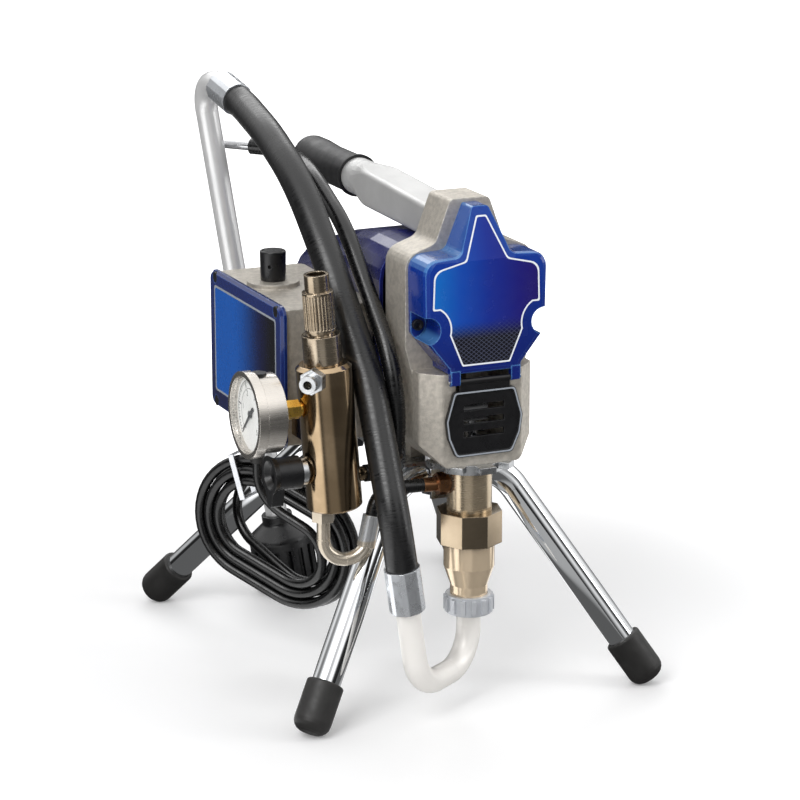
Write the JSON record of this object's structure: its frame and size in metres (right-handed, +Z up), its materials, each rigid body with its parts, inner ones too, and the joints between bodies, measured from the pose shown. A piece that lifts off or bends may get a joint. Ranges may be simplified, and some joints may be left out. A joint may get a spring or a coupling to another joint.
{
  "type": "airless paint sprayer",
  "caption": "Electric airless paint sprayer on tubular legs: geared motor, piston pump, filter with gauge and prime valve, suction hose, control box and carrying handle.",
  "frame": {"origin": "floor point amid the four feet", "axes": "+Z up, -Y to the front cover and pump, -X to the control box, gauge and suction hose"},
  "size_m": [0.358, 0.4228, 0.4895],
  "materials": {
    "chrome_tube": "polished chrome",
    "black_rubber": "matt",
    "zinc_sheet": "zinc plated",
    "dark_screws": "black oxide",
    "cast_aluminium": "cast, lightly blasted",
    "blue_cover": "gloss",
    "dark_blue_shroud": "gloss",
    "blue_plate": "gloss paint",
    "black_plastic": "satin",
    "plated_steel": "ground",
    "motor_steel": "plain steel",
    "copper_winding": "copper wire and iron",
    "nickel_plate": "warm nickel plating",
    "aluminium_tube": "satin",
    "brass_fitting": "machined",
    "copper_fitting": "copper coloured plating",
    "white_seal": "smooth",
    "dial_white": "smooth",
    "clear_lens": "clear",
    "circuit_board": "lacquer",
    "filter_mesh": "woven",
    "silver_tie": "foil covered",
    "ground_ball": "polished"
  },
  "bodies": {
    "frame": {"front_legs": "chrome_tube", "rear_legs": "chrome_tube", "leg_caps": "black_rubber", "stand_bracket": "zinc_sheet", "screws_and_bolts": "dark_screws", "drive_housing": "cast_aluminium", "front_cover": "blue_cover", "door_hinge_pin": "plated_steel", "handle_arm": "cast_aluminium", "handle_grip": "black_rubber", "motor_front_bell": "cast_aluminium", "motor_can": "motor_steel", "motor_shroud": "dark_blue_shroud", "crank_bearing": "plated_steel", "packing_nut": "plated_steel", "pump_cylinder": "nickel_plate", "jam_nut": "zinc_sheet", "pump_outlet_fitting": "copper_fitting", "intake_housing": "nickel_plate", "suction_nut": "aluminium_tube", "suction_pipe": "aluminium_tube", "hose_ferrules": "zinc_sheet", "suction_hose": "black_rubber", "suction_tube": "aluminium_tube", "strainer": "black_plastic", "drain_tube": "plated_steel", "drain_hose": "black_rubber", "control_housing": "cast_aluminium", "control_cover": "blue_plate", "control_board": "circuit_board", "filter_body": "nickel_plate", "filter_cap": "nickel_plate", "filter_element": "filter_mesh", "outlet_nipple": "zinc_sheet", "pressure_gauge": "plated_steel", "gauge_dial": "dial_white", "gauge_lens": "clear_lens", "gauge_fitting": "brass_fitting", "prime_valve": "zinc_sheet", "high_pressure_tube": "nickel_plate", "high_pressure_hose": "black_rubber", "cord_gland": "black_rubber", "cord_lead": "black_rubber", "cord_coil": "black_rubber", "power_plug": "black_plastic", "cord_tie": "silver_tie"},
    "crank": {"crankshaft": "motor_steel", "crank_gear": "motor_steel"},
    "rotor": {"motor_rotor": "copper_winding", "motor_fan": "black_plastic"},
    "rod": {"pump_rod": "plated_steel", "piston_seal": "white_seal", "wrist_pin": "plated_steel"},
    "conrod": {"connecting_rod": "cast_aluminium"},
    "door": {"pump_door": "black_plastic"},
    "knob": {"pressure_knob": "black_plastic"},
    "prime_handle": {"prime_valve_handle": "black_plastic"},
    "needle": {"gauge_needle": "black_plastic"},
    "switch_lever": {"power_switch_lever": "plated_steel"},
    "ball": {"intake_ball": "ground_ball"}
  },
  "joints": [
    {"name": "motor_turn", "type": "hinge", "parent": "frame", "child": "rotor", "pos_m": [0, -0.0415, 0.3047], "axis": [0, 1, 0], "continuous": true},
    {"name": "crank_turn", "type": "hinge", "parent": "frame", "child": "crank", "pos_m": [0, -0.1415, 0.342], "axis": [0, 1, 0], "continuous": true},
    {"name": "pump_stroke", "type": "slide", "parent": "frame", "child": "rod", "axis": [0, 0, 1], "range_m": [0, 0.024]},
    {"name": "rod_swing", "type": "hinge", "parent": "rod", "child": "conrod", "pos_m": [0, -0.1575, 0.262], "axis": [0, 1, 0], "range_deg": [-8, 8]},
    {"name": "door_swing", "type": "hinge", "parent": "frame", "child": "door", "pos_m": [0, -0.1847, 0.2805], "axis": [-1, 0, 0], "range_deg": [0, 80]},
    {"name": "pressure_turn", "type": "hinge", "parent": "frame", "child": "knob", "pos_m": [-0.11, -0.0055, 0.34], "axis": [0, 0, 1], "range_deg": [0, 270]},
    {"name": "prime_turn", "type": "hinge", "parent": "frame", "child": "prime_handle", "pos_m": [-0.156, -0.1475, 0.211], "axis": [-1, 0, 0], "range_deg": [0, 90]},
    {"name": "needle_turn", "type": "hinge", "parent": "frame", "child": "needle", "pos_m": [-0.187, -0.1475, 0.263], "axis": [1, 0, 0], "range_deg": [0, 270]},
    {"name": "switch_flip", "type": "hinge", "parent": "frame", "child": "switch_lever", "pos_m": [-0.096, 0.0655, 0.278], "axis": [-1, 0, 0], "range_deg": [0, 24]},
    {"name": "ball_lift", "type": "slide", "parent": "frame", "child": "ball", "axis": [0, 0, 1], "range_m": [0, 0.004]}
  ],
  "couplings": [
    {"joint": "crank_turn", "follows": "motor_turn", "ratio": -0.29167}
  ]
}
